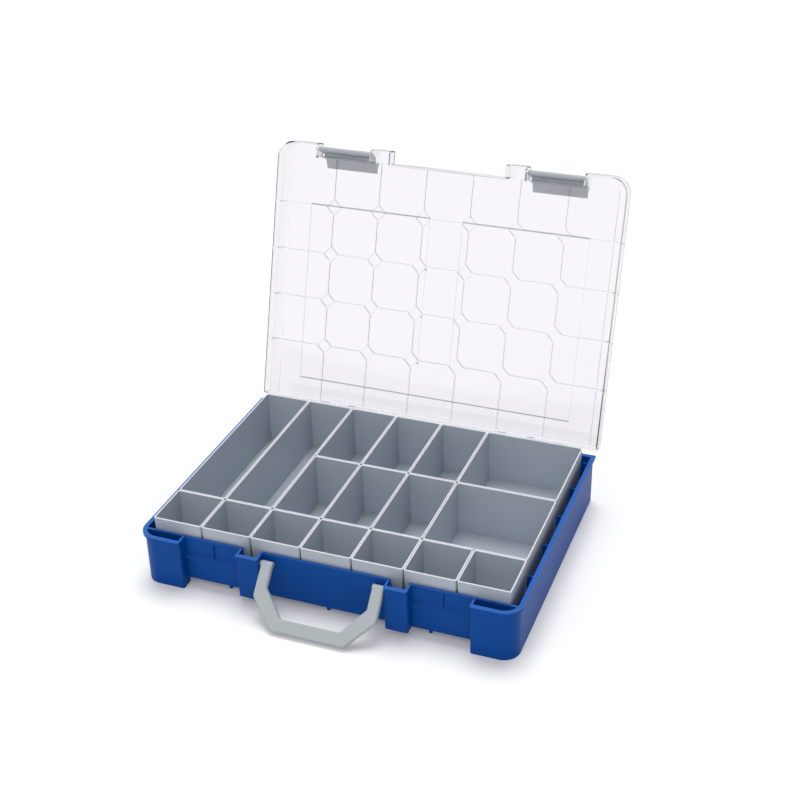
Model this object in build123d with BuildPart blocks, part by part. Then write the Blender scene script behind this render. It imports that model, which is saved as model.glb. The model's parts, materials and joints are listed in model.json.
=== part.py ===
"""Small-parts carry case with a clear hinged lid, two latches, a front handle and lift-out bins.

Sizes are in millimetres. The origin is the middle of the case's footprint on the ground, +X is to
the right seen from the front, +Y runs back to the hinges and +Z is up. The lid stands open.
"""

import os
from math import cos, radians, sin, tan

from build123d import *

os.makedirs("parts", exist_ok=True)

# Bin grid
module = 55.0
columns = 7
rows = 5
bin_height = 62.8
bin_rim_gap = 0.4
bin_wall = 1.5
bin_floor = 1.5
bin_corner = 2.2
bin_taper = 1.7
bin_foot = 1.8
bin_foot_width = 2.2

# Base shell
rim_height = 58.5
side_gap = 12.5
front_gap = 17.0
rear_gap = 10.6
flange = 2.5
flange_height = 3.0
wall = 2.2
front_corner = 20.0
rear_corner = 10.0
foot_height = 7.0
floor_thickness = 2.2
skid_width = 3.0
skid_pitch = 110.0
handle_recess = 67.6
boss_width = 24.4
latch_recess = 64.0
bin_clearance = 0.5
jog_radius = 2.0
grid_rib = 2.0
grid_rib_drop = 5.0
peg_width = 2.4
peg_height = 1.2

# Latch catch in the base's two latch recesses
catch_reach = 4.0
catch_top = 18.5
catch_slope = 3.6
catch_nose = 1.8
catch_rib = 2.4
catch_rib_reach = 2.2

# Lid
lid_depth = 18.0
lid_gap = 0.3
lid_plate = 2.0
lid_skirt = 1.8
lid_edge = 1.2
lid_angle = 106.5
lid_rib = 1.2
lid_rib_height = 1.8
gusset_leg = 14.0
stack_depth = 0.9
stack_half_width = 166.0
stack_front = 54.0
stack_rear = 262.0
tongue_half_width = 19.5
tongue_rear = 221.0
skirt_rib = 5.5

# Lid hinges
hinge_x = 110.0
hinge_offset = 3.6
pin_radius = 1.5
pin_clearance = 0.06
pin_overhang = 0.6
knuckle_radius = 3.2
knuckle_width = 26.0
lug_width = 8.0
lug_gap = 0.4
lug_drop = 12.0
knuckle_web = 8.0
knuckle_web_turn = 45.0
stop_length = 7.0
stop_clearance = 0.3

# Latches
latch_gap = 0.8
latch_pivot_reach = 7.8
latch_pivot_rise = 6.0
latch_barrel = 3.0
latch_thickness = 2.2
latch_trunnion = 1.6
latch_bow = 0.9
latch_bow_at = 14.5
latch_lip = 3.4
latch_lip_at = 31.0
latch_angle = 212.0
hook_thickness = 2.0
hook_gap = 0.3
hook_cover = 2.5
hook_window = 25.0
finger_lip = 2.6
finger_lip_run = 3.2
finger_lip_edge = 1.4
finger_lip_lean = 1.0

# Handle
handle_side_gap = 1.6
handle_pivot_drop = 8.5
handle_pivot_front = 8.0
handle_tilt = 47.0
handle_arm = 12.0
handle_thickness = 6.6
handle_knee = 33.8
handle_length = 64.0
handle_grip_half = 39.0
handle_inner_knee = 23.5
handle_inner_length = 50.4
handle_inner_half = 32.0
handle_knee_radius = 5.0
handle_edge = 1.2
handle_skin = 2.0
handle_rim = 2.2
handle_rib = 1.8
handle_rib_pitch = 16.0
handle_trunnion = 2.4
pivot_pad = 5.0
pivot_pad_depth = 2.0

# Places that follow from the sizes above
grid_width = columns * module
grid_depth = rows * module
half_width = grid_width / 2 + side_gap
depth = grid_depth + front_gap + rear_gap
front_y = -depth / 2
rear_y = depth / 2
grid_front = front_y + front_gap
recess_y = grid_front - bin_clearance - wall
floor_top = foot_height + floor_thickness
boss_outer = handle_recess + boss_width
block_inner = boss_outer + latch_recess
latch_x = boss_outer + latch_recess / 2
hinge_y = rear_y + hinge_offset
hinge_length = knuckle_width + 2 * (lug_width + lug_gap)
column_lines = [(i - columns / 2) * module for i in range(columns + 1)]
row_lines = [grid_front + j * module for j in range(rows + 1)]
handle_half = handle_recess - handle_side_gap
handle_y = grid_front - handle_pivot_front
handle_z = rim_height - handle_pivot_drop
latch_y = recess_y - latch_pivot_reach
bin_top = floor_top + bin_height

# The lid is drawn as if closed, in a frame that is carried open about the hinge line
lid_frame = Plane(
    origin=(
        0,
        hinge_y * (1 - cos(radians(lid_angle))),
        rim_height + hinge_y * sin(radians(lid_angle)),
    ),
    x_dir=(1, 0, 0),
    z_dir=(0, sin(radians(lid_angle)), cos(radians(lid_angle))),
)


def section(frame, x):
    """A plane across a frame at x, drawn with +Y of the frame to the right and its +Z up."""
    return Plane(frame.from_local_coords((x, 0, 0)), x_dir=frame.y_dir, z_dir=frame.x_dir)


def finish(builder, name):
    """Labels a finished piece and writes its file."""
    builder.part.label = name
    export_step(builder.part, f"parts/{name}.step")


def case_plan(inset, grow):
    """The case seen from above, inset from the rim, with its recesses grown by a wall."""
    Rectangle(2 * (half_width - inset), depth - 2 * inset)
    ends = vertices().group_by(Axis.Y)
    fillet(ends[0], front_corner - inset)
    fillet(ends[-1], rear_corner - inset)
    reach = recess_y + grow - (front_y - jog_radius)
    with Locations((0, front_y - jog_radius + reach / 2)):
        Rectangle(2 * (handle_recess + grow), reach, mode=Mode.SUBTRACT)
    with Locations(
        (-latch_x, front_y - jog_radius + reach / 2),
        (latch_x, front_y - jog_radius + reach / 2),
    ):
        Rectangle(latch_recess + 2 * grow, reach, mode=Mode.SUBTRACT)


def round_jogs(inset):
    """Rounds the upright front corners of the bosses and corner blocks in the current sketch."""
    front_line = vertices().group_by(Axis.Y)[0]
    fillet(front_line.filter_by(lambda v: abs(v.X) < block_inner + jog_radius), jog_radius)


# Base shell: tapered outer walls, rim flange and the open cavity
with BuildPart() as base_shell:
    with BuildSketch(Plane.XY.offset(rim_height)):
        case_plan(flange, 0)
        round_jogs(flange)
    extrude(amount=-rim_height)
    with BuildSketch(Plane.XY.offset(rim_height)):
        case_plan(0, 0)
        round_jogs(0)
    extrude(amount=-flange_height)
    with BuildSketch(Plane.XY.offset(rim_height)):
        case_plan(flange + wall, wall)
    extrude(amount=floor_top - rim_height, mode=Mode.SUBTRACT)

    # The floor stands above the ground on side skirts and on the two front corner feet
    skirt_inset = flange + wall
    with BuildSketch(Plane.XY):
        case_plan(skirt_inset, wall)
    extrude(amount=foot_height, mode=Mode.SUBTRACT)
    front_room = recess_y + 2 * wall - front_y
    with BuildSketch(Plane.XY):
        with Locations((0, front_y + front_room / 2)):
            Rectangle(2 * block_inner, front_room)
    extrude(amount=foot_height, mode=Mode.SUBTRACT)

    # Skids under the floor carry the middle of a loaded case
    skid_length = depth - front_room - 2 * skirt_inset
    with BuildSketch(Plane.XY):
        with Locations((0, front_y + front_room + skid_length / 2)):
            with GridLocations(skid_pitch, 1, 3, 1):
                Rectangle(skid_width, skid_length)
    extrude(amount=foot_height + floor_thickness / 2)

    # The inner front wall runs on behind the corner blocks, which are open pockets in front of it
    wall_end = half_width - flange - wall / 2
    with BuildSketch(Plane.XY.offset(floor_top - floor_thickness / 2)):
        for side in (-1, 1):
            with Locations((side * (block_inner + wall_end) / 2, recess_y + wall / 2)):
                Rectangle(wall_end - block_inner, wall)
    extrude(amount=rim_height - floor_top + floor_thickness / 2)

    # Ribs on the side and rear walls stop the bins from sliding about
    rib_top = rim_height - grid_rib_drop
    side_rib = side_gap - flange - wall / 2 - bin_clearance
    rear_rib = rear_gap - flange - wall / 2 - bin_clearance
    with BuildSketch(Plane.XY.offset(floor_top - floor_thickness / 2)):
        for y in row_lines[1:]:
            for side in (-1, 1):
                with Locations((side * (grid_width / 2 + bin_clearance + side_rib / 2), y)):
                    Rectangle(side_rib, grid_rib)
        for x in column_lines[1:-1]:
            with Locations((x, row_lines[-1] + bin_clearance + rear_rib / 2)):
                Rectangle(grid_rib, rear_rib)
    extrude(amount=rib_top - floor_top + floor_thickness / 2)

    # Low pegs on the floor stand at the corners of the modules
    with BuildSketch(Plane.XY.offset(floor_top - floor_thickness / 2)):
        with Locations((0, (row_lines[0] + row_lines[-1]) / 2)):
            with GridLocations(module, module, columns - 1, rows - 1):
                Rectangle(peg_width, peg_width)
    extrude(amount=peg_height + floor_thickness / 2)

    # Each latch recess has a sloped catch bar across it and a short rib above the bar
    catch_z = rim_height - catch_top
    for side in (-1, 1):
        with BuildSketch(Plane.YZ.offset(side * latch_x)):
            with BuildLine():
                Polyline(
                    (recess_y + wall, catch_z),
                    (recess_y, catch_z),
                    (recess_y - catch_reach, catch_z - catch_slope),
                    (recess_y - catch_reach, catch_z - catch_slope - catch_nose),
                    (recess_y + wall, catch_z - catch_slope - catch_nose),
                    close=True,
                )
            make_face()
        extrude(amount=latch_recess / 2 + wall / 2, both=True)
        with BuildSketch(Plane.YZ.offset(side * latch_x)):
            with BuildLine():
                Polyline(
                    (recess_y + wall / 2, rim_height - catch_rib),
                    (recess_y, rim_height - catch_rib),
                    (recess_y - catch_rib_reach, rim_height - 2 * catch_rib),
                    (recess_y - catch_rib_reach, catch_z - catch_slope),
                    (recess_y + wall / 2, catch_z - catch_slope),
                    close=True,
                )
            make_face()
        extrude(amount=catch_rib / 2, both=True)

    # Pads inside the bosses carry the handle's trunnions
    for side in (-1, 1):
        with BuildSketch(Plane.YZ.offset(side * (handle_recess + wall / 2))):
            with Locations((handle_y, handle_z)):
                Rectangle(2 * pivot_pad, 2 * pivot_pad)
        extrude(amount=side * (wall / 2 + pivot_pad_depth))
        with BuildSketch(Plane.YZ.offset(side * (handle_recess - wall))):
            with Locations((handle_y, handle_z)):
                Circle(handle_trunnion + pin_clearance)
        extrude(amount=side * (2 * wall + pivot_pad_depth + wall), mode=Mode.SUBTRACT)

    # Hinge lugs with a sloped heel that the open lid leans back on
    heel = radians(lid_angle)
    heel_rise = hinge_offset - stop_clearance
    heel_foot = (hinge_y - heel_rise * cos(heel), rim_height + heel_rise * sin(heel))
    heel_end = (
        heel_foot[0] + stop_length * sin(heel),
        heel_foot[1] + stop_length * cos(heel),
    )
    for side in (-1, 1):
        for hand in (-1, 1):
            lug_middle = side * hinge_x + hand * (knuckle_width / 2 + lug_gap + lug_width / 2)
            with BuildSketch(Plane.YZ.offset(lug_middle)):
                with Locations((hinge_y, rim_height)):
                    Circle(knuckle_radius)
                with BuildLine():
                    Polyline(
                        (hinge_y, rim_height - knuckle_radius),
                        (hinge_y, rim_height),
                        heel_foot,
                        heel_end,
                        (heel_end[0], rim_height - knuckle_radius),
                        (hinge_y, rim_height - lug_drop),
                        (rear_y - flange - wall / 2, rim_height - lug_drop),
                        (rear_y - flange - wall / 2, rim_height - flange_height),
                        (rear_y - stop_clearance, rim_height - flange_height),
                        close=True,
                    )
                make_face()
                with Locations((hinge_y, rim_height)):
                    Circle(pin_radius, mode=Mode.SUBTRACT)
            extrude(amount=lug_width / 2, both=True)
finish(base_shell, "base_shell")


# Clear lid: a shallow tray with ribs on the module lines and a sunk stacking field outside
lid_up = Axis(lid_frame.origin, lid_frame.z_dir)
rib_base = lid_depth - lid_plate - lid_rib_height
rib_front = recess_y + lid_skirt / 2
rib_rear = rear_y - lid_skirt / 2
with BuildPart() as clear_lid:
    with BuildSketch(lid_frame.offset(lid_gap)):
        case_plan(0, 0)
        round_jogs(0)
    extrude(amount=lid_depth - lid_gap)
    chamfer(faces().sort_by(lid_up)[-1].edges(), lid_edge)
    with BuildSketch(lid_frame):
        case_plan(lid_skirt, lid_skirt)
    extrude(amount=lid_depth - lid_plate, mode=Mode.SUBTRACT)

    # The outer face is sunk in two fields with a tongue between them
    with BuildSketch(lid_frame.offset(lid_depth)):
        with Locations((0, grid_front + (stack_front + stack_rear) / 2)):
            Rectangle(2 * stack_half_width, stack_rear - stack_front)
        with Locations((0, grid_front + (stack_front + tongue_rear) / 2)):
            Rectangle(2 * tongue_half_width, tongue_rear - stack_front, mode=Mode.SUBTRACT)
    extrude(amount=-stack_depth, mode=Mode.SUBTRACT)

    # Ribs stand over the gaps between the bins, tied by diagonal gussets where they cross
    with BuildSketch(lid_frame.offset(rib_base)):
        with Locations((0, (rib_front + rib_rear) / 2)):
            with GridLocations(module, 1, columns + 1, 1):
                Rectangle(lid_rib, rib_rear - rib_front)
        with Locations((0, (row_lines[1] + row_lines[-2]) / 2)):
            with GridLocations(1, module, 1, rows - 1):
                Rectangle(2 * half_width - lid_skirt, lid_rib)
        with Locations((0, (row_lines[0] + row_lines[-1]) / 2)):
            with GridLocations(module, module, columns - 1, rows - 1):
                Rectangle(gusset_leg, gusset_leg, rotation=45)
                inner_leg = gusset_leg - 2 * lid_rib
                Rectangle(inner_leg, inner_leg, rotation=45, mode=Mode.SUBTRACT)
    extrude(amount=lid_rib_height + lid_plate / 2)

    # Each side skirt has a short upright rib at the end of each cross rib
    for y in row_lines[1:-1]:
        rib_plane = Plane(
            lid_frame.from_local_coords((0, y, 0)),
            x_dir=lid_frame.x_dir,
            z_dir=lid_frame.y_dir * -1,
        )
        with BuildSketch(rib_plane):
            with BuildLine():
                Polyline(
                    (half_width - lid_skirt / 2, lid_depth - lid_plate / 2),
                    (half_width - lid_skirt - skirt_rib, lid_depth - lid_plate / 2),
                    (half_width - lid_skirt - skirt_rib, rib_base),
                    (half_width - lid_skirt, rib_base - skirt_rib),
                    (half_width - lid_skirt / 2, rib_base - skirt_rib),
                    close=True,
                )
            make_face()
            mirror(about=Plane.YZ)
        extrude(amount=lid_rib / 2, both=True)

    # Holes in the sides of the two notches carry the latch trunnions
    for side in (-1, 1):
        with BuildSketch(section(lid_frame, side * latch_x)):
            with Locations((latch_y, latch_pivot_rise)):
                Circle(latch_trunnion + pin_clearance)
        extrude(amount=latch_recess / 2 + 2 * lid_skirt, both=True, mode=Mode.SUBTRACT)

    # Two knuckles on the rear skirt turn on the hinge pins
    web_turn = radians(knuckle_web_turn)
    web_start = (hinge_y + knuckle_radius * cos(web_turn), knuckle_radius * sin(web_turn))
    for side in (-1, 1):
        with BuildSketch(section(lid_frame, side * hinge_x)):
            with BuildLine():
                Polyline(
                    (rear_y - lid_skirt / 2, lid_gap),
                    (hinge_y, lid_gap),
                    web_start,
                    (rear_y - lid_skirt / 2, knuckle_web),
                    close=True,
                )
            make_face()
            with Locations((hinge_y, 0)):
                Circle(knuckle_radius)
                Circle(pin_radius + pin_clearance, mode=Mode.SUBTRACT)
        extrude(amount=knuckle_width / 2, both=True)
finish(clear_lid, "clear_lid")


# Latches: a curved flap on an integral barrel, with a hook inside and a finger lip outside
flap = radians(270 - latch_angle)
flap_dir = lid_frame.y_dir * cos(flap) + lid_frame.z_dir * sin(flap)
hook_top = latch_pivot_rise + catch_top + catch_slope + catch_nose + hook_gap
hook_reach = latch_pivot_reach - catch_reach + hook_cover
latch_width = latch_recess - 2 * latch_gap


def latch(name, x):
    """One latch, drawn with its profile running down the flap from the pivot."""
    pivot = lid_frame.from_local_coords((x, latch_y, latch_pivot_rise))
    profile = Plane(pivot, x_dir=flap_dir, z_dir=lid_frame.x_dir * -1)
    lip_tip = (latch_lip_at + finger_lip_run, latch_lip + finger_lip)
    lip_foot = (lip_tip[0] + finger_lip_lean, lip_tip[1] - finger_lip_edge)
    hook_end = hook_top + hook_thickness
    inner_face = latch_lip - latch_thickness
    with BuildPart() as piece:
        with BuildSketch(profile):
            with BuildLine():
                ThreePointArc(
                    (0, latch_barrel),
                    (latch_bow_at, -latch_bow),
                    (latch_lip_at, latch_lip),
                )
                Polyline(
                    (latch_lip_at, latch_lip),
                    lip_tip,
                    lip_foot,
                    (hook_end, inner_face),
                    (hook_end, -hook_reach),
                    (hook_top, -hook_reach),
                    (hook_top, inner_face),
                )
                ThreePointArc(
                    (hook_top, inner_face),
                    (latch_bow_at, -latch_bow - latch_thickness),
                    (0, -latch_barrel),
                )
                Line((0, -latch_barrel), (0, latch_barrel))
            make_face()
            Circle(latch_barrel)
        extrude(amount=latch_width / 2, both=True)
        with BuildSketch(profile):
            Circle(latch_trunnion)
        extrude(amount=latch_recess / 2 + lid_skirt, both=True)
        with BuildSketch(profile):
            with Locations((hook_top + hook_thickness / 2, -hook_reach)):
                Rectangle(hook_thickness * 2, 2 * (hook_reach - latch_thickness))
        extrude(amount=hook_window / 2, both=True, mode=Mode.SUBTRACT)
    finish(piece, name)
    return piece


latch_left = latch("latch_left", -latch_x)
latch_right = latch("latch_right", latch_x)


# Carry handle: a flat U with chamfer-like knees, hollow and ribbed underneath
tilt = radians(handle_tilt)
handle_frame = Plane(
    origin=(0, handle_y, handle_z),
    x_dir=(1, 0, 0),
    z_dir=(0, sin(tilt), -cos(tilt)),
)
handle_down = Axis(handle_frame.origin, handle_frame.z_dir)
grip_middle = (handle_inner_length + handle_length) / 2
arm_middle = handle_half - handle_arm / 2


def handle_plan(inset):
    """The handle's U, inset from its outline."""
    Polygon(
        (-handle_half + inset, inset),
        (-handle_half + inset, handle_knee),
        (-handle_grip_half, handle_length - inset),
        (handle_grip_half, handle_length - inset),
        (handle_half - inset, handle_knee),
        (handle_half - inset, inset),
        (handle_half - handle_arm + inset, inset),
        (handle_half - handle_arm + inset, handle_inner_knee + inset / 2),
        (handle_inner_half, handle_inner_length + inset),
        (-handle_inner_half, handle_inner_length + inset),
        (-handle_half + handle_arm - inset, handle_inner_knee + inset / 2),
        (-handle_half + handle_arm - inset, inset),
        align=None,
    )
    fillet(vertices().filter_by(lambda v: v.Y > handle_inner_knee / 2), handle_knee_radius)


with BuildPart() as carry_handle:
    with BuildSketch(handle_frame):
        handle_plan(0)
    extrude(amount=handle_thickness / 2, both=True)
    rims = faces().sort_by(handle_down)
    long_edges = rims[0].edges() + rims[-1].edges()
    pivot_line = Plane(handle_frame.origin, x_dir=(1, 0, 0), z_dir=handle_frame.y_dir)
    chamfer(
        long_edges.filter_by(lambda e: pivot_line.to_local_coords(e.center()).Z > 1),
        handle_edge,
    )

    # The underside is hollow between ribs
    with BuildSketch(handle_frame.offset(handle_thickness / 2)):
        handle_plan(handle_rim)
        with Locations((0, grip_middle)):
            with GridLocations(handle_rib_pitch, 1, 5, 1):
                Rectangle(handle_rib, 2 * handle_arm, mode=Mode.SUBTRACT)
        with Locations((0, handle_knee / 2)):
            with GridLocations(2 * arm_middle, 1, 2, 1):
                Rectangle(handle_arm, handle_rib, mode=Mode.SUBTRACT)
    extrude(amount=handle_skin - handle_thickness, mode=Mode.SUBTRACT)

    # Round ends and integral trunnions turn in the bosses
    for side in (-1, 1):
        with BuildSketch(Plane.YZ.offset(side * (handle_half - handle_arm))):
            with Locations((handle_y, handle_z)):
                Circle(handle_thickness / 2)
        extrude(amount=side * handle_arm)
        with BuildSketch(Plane.YZ.offset(side * arm_middle)):
            with Locations((handle_y, handle_z)):
                Circle(handle_trunnion)
        extrude(amount=side * (handle_recess + wall + pivot_pad_depth - arm_middle))
finish(carry_handle, "carry_handle")


# Steel hinge pins
def hinge_pin(name, x):
    """One plain pin through a hinge."""
    with BuildPart() as piece:
        with BuildSketch(Plane.YZ.offset(x)):
            with Locations((hinge_y, rim_height)):
                Circle(pin_radius)
        extrude(amount=hinge_length / 2 + pin_overhang, both=True)
    finish(piece, name)
    return piece


hinge_pin_left = hinge_pin("hinge_pin_left", -hinge_x)
hinge_pin_right = hinge_pin("hinge_pin_right", hinge_x)


def is_upright(edge):
    """Whether an edge runs up a wall, upright or leaning with its draft."""
    return abs((edge @ 1 - edge @ 0).Z) > edge.length / 2


# Loose bins, each a whole number of modules wide and deep
def loose_bin(name, column, row, wide, deep):
    """One open bin that tapers down to a raised floor, placed by its front left module."""
    middle = (
        column_lines[column - 1] + wide * module / 2,
        row_lines[row - 1] + deep * module / 2,
    )
    rim_x = wide * module - bin_rim_gap
    rim_y = deep * module - bin_rim_gap
    cavity = bin_height - bin_foot - bin_floor
    foot_inset = bin_height * tan(radians(bin_taper)) + bin_foot_width
    floor_inset = cavity * tan(radians(bin_taper)) + bin_wall
    rim_plane = Plane.XY.offset(bin_top)
    floor_plane = Plane.XY.offset(bin_top - cavity)
    with BuildPart() as piece:
        with BuildSketch(rim_plane):
            with Locations(middle):
                Rectangle(rim_x, rim_y)
        extrude(amount=-bin_height)
        draft(faces().filter_by(Axis.Z, reverse=True), rim_plane, -bin_taper)
        fillet(edges().filter_by(is_upright), bin_corner)
        with BuildSketch(floor_plane):
            with Locations(middle):
                Rectangle(rim_x - 2 * floor_inset, rim_y - 2 * floor_inset)
        extrude(amount=cavity, mode=Mode.SUBTRACT)
        walls = piece.solid().faces()
        inner_walls = walls.filter_by(Axis.X) + walls.filter_by(Axis.Y)
        draft(inner_walls, floor_plane, bin_taper)
        inner_corners = edges().filter_by(is_upright).group_by(SortBy.LENGTH)[0]
        chamfer(inner_corners, bin_corner - bin_wall)
        with BuildSketch(Plane.XY.offset(bin_top - bin_height)):
            with Locations(middle):
                Rectangle(rim_x - 2 * foot_inset, rim_y - 2 * foot_inset)
        extrude(amount=bin_foot, mode=Mode.SUBTRACT)
    finish(piece, name)
    return piece


front_bins = [loose_bin(f"front_bin_{i}", i, 1, 1, 1) for i in range(1, columns + 1)]
long_bins = [loose_bin(f"long_bin_{i}", i, 2, 1, 4) for i in (1, 2)]
mid_bins = [loose_bin(f"mid_bin_{i}", i, 2, 1, 2) for i in (3, 4, 5)]
rear_bins = [loose_bin(f"rear_bin_{i}", i, 4, 1, 2) for i in (3, 4, 5)]
wide_bin_front = loose_bin("wide_bin_front", 6, 2, 2, 2)
wide_bin_rear = loose_bin("wide_bin_rear", 6, 4, 2, 2)
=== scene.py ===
"""Looks for the small-parts carry case: moulded blue base, clear lid, grey bins, latches and handle.

Each solid is stood for by a merged copy of itself with softened edges. The camera is the photograph's.
"""

import json
from math import cos, radians, sin

import bmesh
import bpy
from mathutils import Matrix, Vector


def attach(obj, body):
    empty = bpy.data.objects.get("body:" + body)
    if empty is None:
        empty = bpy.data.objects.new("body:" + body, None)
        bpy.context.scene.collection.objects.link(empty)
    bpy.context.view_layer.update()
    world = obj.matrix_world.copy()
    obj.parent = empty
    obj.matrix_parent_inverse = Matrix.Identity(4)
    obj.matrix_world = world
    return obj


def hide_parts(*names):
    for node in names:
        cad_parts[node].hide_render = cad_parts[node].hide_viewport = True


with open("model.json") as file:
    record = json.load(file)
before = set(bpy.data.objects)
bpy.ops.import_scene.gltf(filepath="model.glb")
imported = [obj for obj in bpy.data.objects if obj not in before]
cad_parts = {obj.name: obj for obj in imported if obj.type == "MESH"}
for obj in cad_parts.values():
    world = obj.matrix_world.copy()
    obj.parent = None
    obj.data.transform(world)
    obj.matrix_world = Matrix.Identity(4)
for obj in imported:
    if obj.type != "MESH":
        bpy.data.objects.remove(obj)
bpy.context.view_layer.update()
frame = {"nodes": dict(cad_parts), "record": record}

MM = 0.001
WHITE = (1.0, 1.0, 1.0, 1.0)

# How the copies of the solids are merged and softened
WELD = 0.0005 * MM
FLAT = radians(0.3)
SOFTENED = radians(32)
CREASE = radians(40)
EDGE_SEGMENTS = 2
FULL_WEIGHT = 100

# Camera, where the photograph was taken from
CAMERA_PLACE = Vector((482.4, -1163.8, 892.1)) * MM
CAMERA_TURN = radians(21.18)
CAMERA_DROP = radians(29.71)
CAMERA_ROLL = radians(-1.211)
CAMERA_LENS = 63.31
CAMERA_SENSOR = 36.0
CAMERA_REACH = 60.0

# Light: a broad sun from slightly behind, a front fill and a pale room
SUN_PLACE = (-0.1, 0.36, 1.2)
SUN_POWER = 1.78
SUN_SPREAD = radians(34)
FILL_PLACE = (-0.35, -1.2, 0.95)
FILL_POWER = 0.68
FILL_SPREAD = radians(70)
ROOM_LIGHT = 0.42
ROOM_SEEN = 1.0
FLOOR_HALF = 12.0
FLOOR_LIFT = 0.09

# Sizes that the looks share with the model
BIN_RIM = 72.0 * MM
RIM_LAND = 0.6 * MM
LID_ANGLE = radians(106.5)
HINGE_BACK = 154.9 * MM
HINGE_HEIGHT = 58.5 * MM
LID_ORIGIN = Vector((0.0, HINGE_BACK * (1 - cos(LID_ANGLE)), HINGE_HEIGHT + HINGE_BACK * sin(LID_ANGLE)))
LID_INSIDE = 16.0 * MM
LID_FACE = 18.0 * MM
LID_SUNK = 17.1 * MM
FIELD_FRONT = -80.3 * MM
FIELD_REAR = 127.7 * MM
FIELD_HALF = 166.0 * MM
FIELD_LINE = 0.9 * MM
TONGUE_HALF = 19.5 * MM
LID_OPEN = (
    Matrix.Translation((0.0, HINGE_BACK, HINGE_HEIGHT))
    @ Matrix.Rotation(-LID_ANGLE, 4, "X")
    @ Matrix.Translation((0.0, -HINGE_BACK, 0.0))
)

# Limits and margins of the lid's bands. Distances from the middle start at 0, so a band from there
# begins just under it.
BELOW_RIBS = -5 * MM
PAST_MIDDLE = -1 * MM
BAND_EDGE = 0.15 * MM
STEP_EDGE = 0.05 * MM
FACE_MARGIN = 0.1 * MM
FIELD_MARGIN = 2 * MM
PLATE_LOW = LID_INSIDE + 0.5 * MM
PLATE_HIGH = LID_FACE + 1 * MM

# Pips inside the lid; each is rooted in the plate and stands out by PIP_STAND
PIP_COUNT = 3
PIP_PITCH = 55.0 * MM
FIRST_PIP = -21.3 * MM
PIP_FOOT = 1.5 * MM
PIP_TIP = 1.1 * MM
PIP_HEIGHT = 1.4 * MM
PIP_STAND = 1.2 * MM
PIP_SIDES = 24

# Real sizes of the patterns
FLOW = 30 * MM
GRAIN = 0.9 * MM
GRAIN_DEPTH = 0.08 * MM
SWIRL = 45 * MM
SWIRL_DEPTH = 0.4 * MM
DRAW_LINE = 0.2 * MM
DRAW_STRETCH = 0.05


def linear(code):
    """An sRGB hex colour as linear red, green, blue and alpha."""
    parts = [int(code[i : i + 2], 16) / 255 for i in (1, 3, 5)]
    return tuple(c / 12.92 if c <= 0.04045 else ((c + 0.055) / 1.055) ** 2.4 for c in parts) + (1.0,)


def add(tree, kind, inputs=None, **settings):
    """Adds a node to a tree. Inputs are values or output sockets, by name or number."""
    node = tree.nodes.new(kind)
    for key, value in settings.items():
        setattr(node, key, value)
    for key, value in (inputs or {}).items():
        if isinstance(value, bpy.types.NodeSocket):
            tree.links.new(value, node.inputs[key])
        else:
            node.inputs[key].default_value = value
    return node


def new_material(name):
    """An empty node material, its tree and its output node."""
    material = bpy.data.materials.new(name)
    material.use_nodes = True
    tree = material.node_tree
    tree.nodes.clear()
    return material, tree, add(tree, "ShaderNodeOutputMaterial")


def band(tree, value, low, high, soft=BAND_EDGE):
    """A mask that is 1 where a value lies between two sizes."""
    rise = add(
        tree, "ShaderNodeMapRange", {"Value": value, "From Min": low - soft, "From Max": low + soft}
    )
    fall = add(
        tree,
        "ShaderNodeMapRange",
        {"Value": value, "From Min": high - soft, "From Max": high + soft, "To Min": 1.0, "To Max": 0.0},
    )
    both = add(
        tree, "ShaderNodeMath", {0: rise.outputs[0], 1: fall.outputs[0]}, operation="MULTIPLY"
    )
    return both.outputs[0]


def moulded(name, colour, dark, rough, sheen=0.3, painted_rim_highlight=None):
    """A moulded thermoplastic: cloudy flow mottling in the pigment, a fine spark-eroded grain and, where one
    is given, a painted highlight along the rim.

    The grain of such a tool is about 0.1 mm; it is drawn at 0.9 mm, as coarse as the picture needs.
    """
    material, tree, output = new_material(name)
    place = add(tree, "ShaderNodeTexCoord").outputs["Object"]
    flow = add(
        tree,
        "ShaderNodeTexNoise",
        {"Vector": place, "Scale": 1 / FLOW, "Detail": 3.0, "Roughness": 0.55},
    )
    shade = add(
        tree,
        "ShaderNodeMix",
        {0: flow.outputs["Fac"], 6: linear(dark), 7: linear(colour)},
        data_type="RGBA",
    ).outputs[2]
    if painted_rim_highlight:
        # Painted highlight: the narrow land along the rim is painted paler, standing in for the light it
        # catches
        level, pale = painted_rim_highlight
        height = add(tree, "ShaderNodeSeparateXYZ", {0: place}).outputs["Z"]
        rim_highlight_band = band(tree, height, level - RIM_LAND, level + RIM_LAND)
        shade = add(
            tree, "ShaderNodeMix", {0: rim_highlight_band, 6: shade, 7: linear(pale)}, data_type="RGBA"
        ).outputs[2]
    grit = add(
        tree,
        "ShaderNodeTexNoise",
        {"Vector": place, "Scale": 1 / GRAIN, "Detail": 2.0, "Roughness": 0.6},
    ).outputs["Fac"]
    gloss = add(tree, "ShaderNodeMapRange", {"Value": grit, "To Min": rough - 0.05, "To Max": rough + 0.07})
    bump = add(tree, "ShaderNodeBump", {"Strength": 0.12, "Distance": GRAIN_DEPTH, "Height": grit})
    body = add(
        tree,
        "ShaderNodeBsdfPrincipled",
        {
            "Base Color": shade,
            "Roughness": gloss.outputs[0],
            "IOR": 1.49,
            "Specular IOR Level": sheen,
            "Normal": bump.outputs[0],
        },
    )
    tree.links.new(body.outputs[0], output.inputs[0])
    return material


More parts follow.
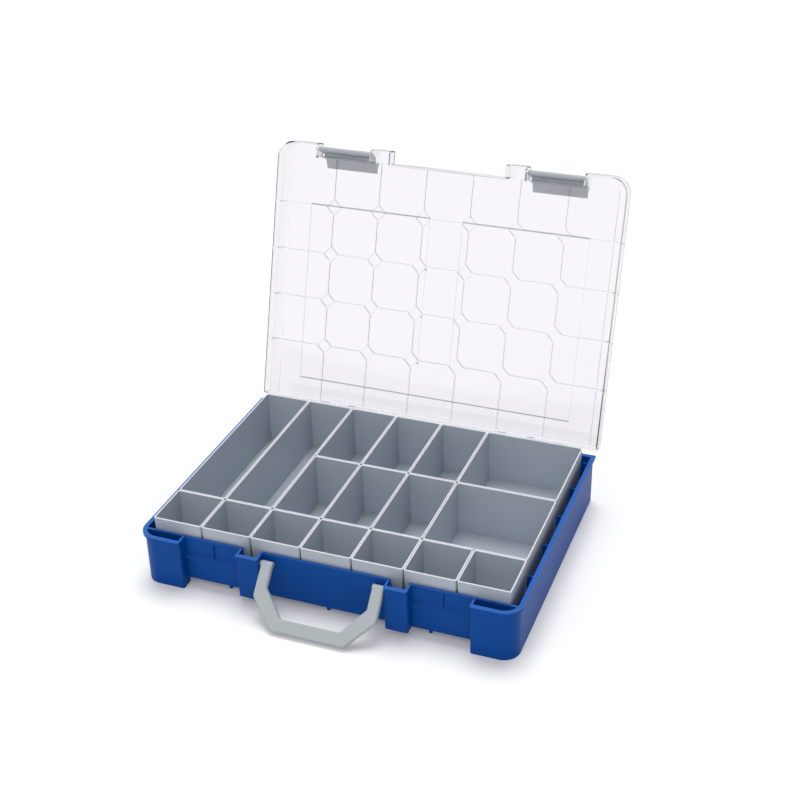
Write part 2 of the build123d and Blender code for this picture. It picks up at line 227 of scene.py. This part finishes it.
def clear_polycarbonate():
    """Clear moulded polycarbonate: polished and a little grey in the plate, with painted dark lines at its
    steps.
    """
    material, tree, output = new_material("clear_moulded_polycarbonate")
    place = add(tree, "ShaderNodeTexCoord").outputs["Object"]
    # Places on the lid as if it were shut: X across, Y from front to hinge and Z up through the plate
    shut = add(
        tree,
        "ShaderNodeMapping",
        {"Vector": place, "Location": LID_ORIGIN, "Rotation": (-LID_ANGLE, 0.0, 0.0)},
        vector_type="TEXTURE",
    ).outputs[0]
    split = add(tree, "ShaderNodeSeparateXYZ", {0: shut})
    deep, along = split.outputs["Z"], split.outputs["Y"]
    across = add(tree, "ShaderNodeMath", {0: split.outputs["X"]}, operation="ABSOLUTE").outputs[0]
    # Ribs, gussets and skirts are seen through many times their thickness, so their tint is paler
    ribs = band(tree, deep, BELOW_RIBS, LID_INSIDE - FACE_MARGIN)
    tint = add(
        tree, "ShaderNodeMix", {0: ribs, 6: linear("#e8e7ec"), 7: linear("#eeeff3")}, data_type="RGBA"
    ).outputs[2]
    # Painted shade: the moulded step round each sunk field is painted as a thin dark line, standing in for
    # the light the step bends away
    step = band(tree, deep, LID_SUNK + STEP_EDGE, LID_FACE - FACE_MARGIN, STEP_EDGE)
    inner = band(tree, across, PAST_MIDDLE, FIELD_HALF + FIELD_MARGIN)
    step = add(tree, "ShaderNodeMath", {0: step, 1: inner}, operation="MULTIPLY").outputs[0]
    tint = add(
        tree, "ShaderNodeMix", {0: step, 6: tint, 7: linear("#6a7077")}, data_type="RGBA"
    ).outputs[2]
    # Painted shade: the front and rear ends of the fields have a wider foot, so their painted dark lines are
    # the strongest
    width = band(tree, across, TONGUE_HALF, FIELD_HALF)
    front = band(tree, along, FIELD_FRONT - FIELD_LINE, FIELD_FRONT + FIELD_LINE)
    rear = band(tree, along, FIELD_REAR - FIELD_LINE, FIELD_REAR + FIELD_LINE)
    ends = add(tree, "ShaderNodeMath", {0: front, 1: width}, operation="MULTIPLY").outputs[0]
    outer = band(tree, across, PAST_MIDDLE, FIELD_HALF)
    backs = add(tree, "ShaderNodeMath", {0: rear, 1: outer}, operation="MULTIPLY").outputs[0]
    both = add(tree, "ShaderNodeMath", {0: ends, 1: backs}, operation="MAXIMUM").outputs[0]
    above = band(tree, deep, PLATE_LOW, PLATE_HIGH)
    lines = add(tree, "ShaderNodeMath", {0: both, 1: above}, operation="MULTIPLY").outputs[0]
    tint = add(
        tree, "ShaderNodeMix", {0: lines, 6: tint, 7: linear("#7b8188")}, data_type="RGBA"
    ).outputs[2]
    # The polished sheet is slightly wavy, which bends what is seen in it
    swirl = add(
        tree,
        "ShaderNodeTexNoise",
        {"Vector": place, "Scale": 1 / SWIRL, "Detail": 2.0, "Distortion": 0.6},
    )
    wave = add(
        tree, "ShaderNodeBump", {"Strength": 0.04, "Distance": SWIRL_DEPTH, "Height": swirl.outputs[0]}
    )
    clear = add(
        tree,
        "ShaderNodeBsdfPrincipled",
        {
            "Base Color": tint,
            "Roughness": 0.03,
            "IOR": 1.58,
            "Transmission Weight": 1.0,
            "Normal": wave.outputs[0],
        },
    )
    # Shadow rays go straight through, so the lid doesn't darken what is behind it
    through = add(tree, "ShaderNodeBsdfTransparent", {"Color": linear("#fbfcfd")})
    path = add(tree, "ShaderNodeLightPath")
    lit = add(
        tree,
        "ShaderNodeMixShader",
        {0: path.outputs["Is Shadow Ray"], 1: clear.outputs[0], 2: through.outputs[0]},
    )
    tree.links.new(lit.outputs[0], output.inputs[0])
    return material


def drawn_steel():
    """Plain drawn steel wire: bright, with fine lengthwise draw lines."""
    material, tree, output = new_material("drawn_steel_wire")
    place = add(tree, "ShaderNodeTexCoord").outputs["Object"]
    along = add(tree, "ShaderNodeMapping", {"Vector": place, "Scale": (DRAW_STRETCH, 1.0, 1.0)}).outputs[0]
    lines = add(tree, "ShaderNodeTexNoise", {"Vector": along, "Scale": 1 / DRAW_LINE, "Detail": 2.0})
    gloss = add(tree, "ShaderNodeMapRange", {"Value": lines.outputs[0], "To Min": 0.22, "To Max": 0.4})
    steel = add(
        tree,
        "ShaderNodeBsdfPrincipled",
        {"Base Color": linear("#b4b5b8"), "Metallic": 1.0, "Roughness": gloss.outputs[0]},
    )
    tree.links.new(steel.outputs[0], output.inputs[0])
    return material


def settle(piece):
    """Makes what the piece's modifiers give its plain mesh."""
    held = bpy.context.evaluated_depsgraph_get()
    mesh = bpy.data.meshes.new_from_object(piece.evaluated_get(held))
    piece.modifiers.clear()
    piece.data = mesh
    return mesh


def moulded_copy(node, body, material, radius):
    """A merged copy of a CAD node with softened edges, which rides where the node rides and stands for it."""
    mesh = frame["nodes"][node].data.copy()
    build = bmesh.new()
    build.from_mesh(mesh)
    bmesh.ops.remove_doubles(build, verts=build.verts, dist=WELD)
    bmesh.ops.dissolve_limit(build, angle_limit=FLAT, verts=build.verts, edges=build.edges)
    build.to_mesh(mesh)
    build.free()
    piece = bpy.data.objects.new(node + "_moulded", mesh)
    bpy.context.scene.collection.objects.link(piece)
    soften = piece.modifiers.new("edge_radius", "BEVEL")
    soften.width = radius
    soften.segments = EDGE_SEGMENTS
    soften.limit_method = "ANGLE"
    soften.angle_limit = SOFTENED
    mesh = settle(piece)
    build = bmesh.new()
    build.from_mesh(mesh)
    for face in build.faces:
        face.smooth = True
    for edge in build.edges:
        edge.smooth = edge.is_manifold and edge.calc_face_angle(0.0) < CREASE
    build.to_mesh(mesh)
    build.free()
    # Large flat faces keep their own direction, so a clear panel doesn't act as a lens
    even = piece.modifiers.new("flat_panels", "WEIGHTED_NORMAL")
    even.mode = "FACE_AREA"
    even.weight = FULL_WEIGHT
    even.keep_sharp = True
    mesh = settle(piece)
    mesh.materials.clear()
    mesh.materials.append(material)
    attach(piece, body)
    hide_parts(node)


# The base is a deep, even blue with a low satin sheen, and a painted highlight gives it a paler line along
# its rim
blue = moulded(
    "moulded_blue_polypropylene", "#054b9b", "#044492", 0.4, sheen=0.1, painted_rim_highlight=(HINGE_HEIGHT, "#2c62b4")
)
# The bins are a soft cool grey, and a painted highlight makes their thin rims pale lines
grey = moulded("moulded_grey_polypropylene", "#b6bec8", "#afb7c1", 0.45, painted_rim_highlight=(BIN_RIM, "#dde1e7"))
# The latches are smoother and a little glossier than the bins
acetal = moulded("moulded_grey_acetal", "#b4b8c0", "#aeb2ba", 0.35)
# The handle is a pale, slightly cool grey, a little duller than the latches
nylon = moulded("moulded_pale_grey_nylon", "#b1b8bc", "#abb2b6", 0.42)
# The lid is seen through, with painted grey lines at its steps
clear = clear_polycarbonate()
# The pins are small bright glints between the knuckles
steel = drawn_steel()

# What marks a node's name, with its material and the radius of its edges
FINISHES = (
    ("base_shell", blue, 0.7 * MM),
    ("_bin", grey, 0.35 * MM),
    ("carry_handle", nylon, 0.5 * MM),
    ("clear_lid", clear, 0.2 * MM),
    ("latch", acetal, 0.3 * MM),
    ("hinge_pin", steel, 0.2 * MM),
)

for body, nodes in frame["record"]["behaviour"]["bodies"].items():
    for node in nodes:
        for mark, material, radius in FINISHES:
            if mark in node:
                moulded_copy(node, body, material, radius)


def row_of_pips():
    """A tree that sets small tapered pips along Y at an even pitch."""
    tree = bpy.data.node_groups.new("row_of_pips", "GeometryNodeTree")
    sockets = {
        "Count": "NodeSocketInt",
        "Pitch": "NodeSocketFloat",
        "Foot Radius": "NodeSocketFloat",
        "Tip Radius": "NodeSocketFloat",
        "Height": "NodeSocketFloat",
        "Material": "NodeSocketMaterial",
    }
    for name, kind in sockets.items():
        tree.interface.new_socket(name, in_out="INPUT", socket_type=kind)
    tree.interface.new_socket("Geometry", in_out="OUTPUT", socket_type="NodeSocketGeometry")
    given = add(tree, "NodeGroupInput").outputs
    stride = add(tree, "ShaderNodeCombineXYZ", {"Y": given["Pitch"]}).outputs[0]
    line = add(tree, "GeometryNodeMeshLine", {"Count": given["Count"], "Offset": stride}).outputs[0]
    pip = add(
        tree,
        "GeometryNodeMeshCone",
        {
            "Vertices": PIP_SIDES,
            "Radius Top": given["Foot Radius"],
            "Radius Bottom": given["Tip Radius"],
            "Depth": given["Height"],
        },
    ).outputs[0]
    stand = add(tree, "GeometryNodeInstanceOnPoints", {"Points": line, "Instance": pip}).outputs[0]
    real = add(tree, "GeometryNodeRealizeInstances", {0: stand}).outputs[0]
    done = add(tree, "GeometryNodeSetMaterial", {0: real, "Material": given["Material"]}).outputs[0]
    add(tree, "NodeGroupOutput", {0: done})
    return tree


def grown(name, tree, values):
    """An object with the plain mesh that a tree grows from its named inputs."""
    seed = bpy.data.objects.new(name, bpy.data.meshes.new(name))
    bpy.context.scene.collection.objects.link(seed)
    nodes = seed.modifiers.new(name, "NODES")
    nodes.node_group = tree
    for socket in tree.interface.items_tree:
        if socket.in_out == "INPUT":
            nodes[socket.identifier] = values[socket.name]
    settle(seed)
    return seed


# Three pips stand on the lid's inside, along the inner edge of its left field
pips = grown(
    "lid_pips",
    row_of_pips(),
    {
        "Count": PIP_COUNT,
        "Pitch": PIP_PITCH,
        "Foot Radius": PIP_FOOT,
        "Tip Radius": PIP_TIP,
        "Height": PIP_HEIGHT,
        "Material": clear,
    },
)
pips.data.transform(LID_OPEN @ Matrix.Translation((-TONGUE_HALF, FIRST_PIP, LID_INSIDE - PIP_STAND)))
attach(pips, "lid")


def backdrop_rays(tree):
    """1 on the rays that see the backdrop: straight, in a reflection or through the clear lid."""
    path = add(tree, "ShaderNodeLightPath").outputs
    seen = add(
        tree,
        "ShaderNodeMath",
        {0: path["Is Camera Ray"], 1: path["Is Transmission Ray"]},
        operation="MAXIMUM",
    ).outputs[0]
    return add(
        tree, "ShaderNodeMath", {0: seen, 1: path["Is Glossy Ray"]}, operation="MAXIMUM"
    ).outputs[0]


def floor():
    """A plain white sweep that keeps the case's soft shadow."""
    size = FLOOR_HALF
    mesh = bpy.data.meshes.new("floor")
    corners = [(-size, -size, 0), (size, -size, 0), (size, size, 0), (-size, size, 0)]
    mesh.from_pydata(corners, [], [(0, 1, 2, 3)])
    plane = bpy.data.objects.new("floor", mesh)
    bpy.context.scene.collection.objects.link(plane)
    material, tree, output = new_material("white_paper_sweep")
    paper = add(tree, "ShaderNodeBsdfDiffuse", {"Color": linear("#f4f3f2")})
    white = add(tree, "ShaderNodeMath", {0: backdrop_rays(tree), 1: FLOOR_LIFT}, operation="MULTIPLY")
    glow = add(tree, "ShaderNodeEmission", {"Color": WHITE, "Strength": white.outputs[0]})
    both = add(tree, "ShaderNodeAddShader", {0: paper.outputs[0], 1: glow.outputs[0]})
    tree.links.new(both.outputs[0], output.inputs[0])
    mesh.materials.append(material)


def lamp(name, place, power, spread, shadow=True):
    """A broad studio lamp that shines from a place towards the case."""
    light = bpy.data.lights.new(name, "SUN")
    light.energy = power
    light.angle = spread
    light.use_shadow = shadow
    held = bpy.data.objects.new(name, light)
    held.location = place
    held.rotation_euler = (-Vector(place)).to_track_quat("-Z", "Y").to_euler()
    bpy.context.scene.collection.objects.link(held)


def room():
    """An even pale room: white where the camera looks, straight or through the lid."""
    world = bpy.data.worlds.new("pale_room")
    bpy.context.scene.world = world
    world.use_nodes = True
    tree = world.node_tree
    tree.nodes.clear()
    output = add(tree, "ShaderNodeOutputWorld")
    level = add(
        tree, "ShaderNodeMapRange", {"Value": backdrop_rays(tree), "To Min": ROOM_LIGHT, "To Max": ROOM_SEEN}
    )
    air = add(tree, "ShaderNodeBackground", {"Color": WHITE, "Strength": level.outputs[0]})
    tree.links.new(air.outputs[0], output.inputs[0])


def camera():
    """The photograph's viewpoint."""
    flat = Vector((-sin(CAMERA_TURN), cos(CAMERA_TURN), 0))
    ahead = flat * cos(CAMERA_DROP) - Vector((0, 0, sin(CAMERA_DROP)))
    level = ahead.cross(Vector((0, 0, 1))).normalized()
    right = level * cos(CAMERA_ROLL) + level.cross(ahead) * sin(CAMERA_ROLL)
    lens = bpy.data.cameras.new("photo_camera")
    lens.lens = CAMERA_LENS
    lens.sensor_width = CAMERA_SENSOR
    lens.clip_end = CAMERA_REACH
    eye = bpy.data.objects.new("photo_camera", lens)
    turn = Matrix((right, right.cross(ahead), -ahead)).transposed().to_4x4()
    eye.matrix_world = Matrix.Translation(CAMERA_PLACE) @ turn
    bpy.context.scene.collection.objects.link(eye)
    bpy.context.scene.camera = eye


floor()
room()
lamp("overhead_soft_light", SUN_PLACE, SUN_POWER, SUN_SPREAD)
# Without a shadow the fill reaches the insides of the small bins
lamp("front_fill", FILL_PLACE, FILL_POWER, FILL_SPREAD, shadow=False)
camera()

bpy.context.scene.view_settings.view_transform = "Standard"
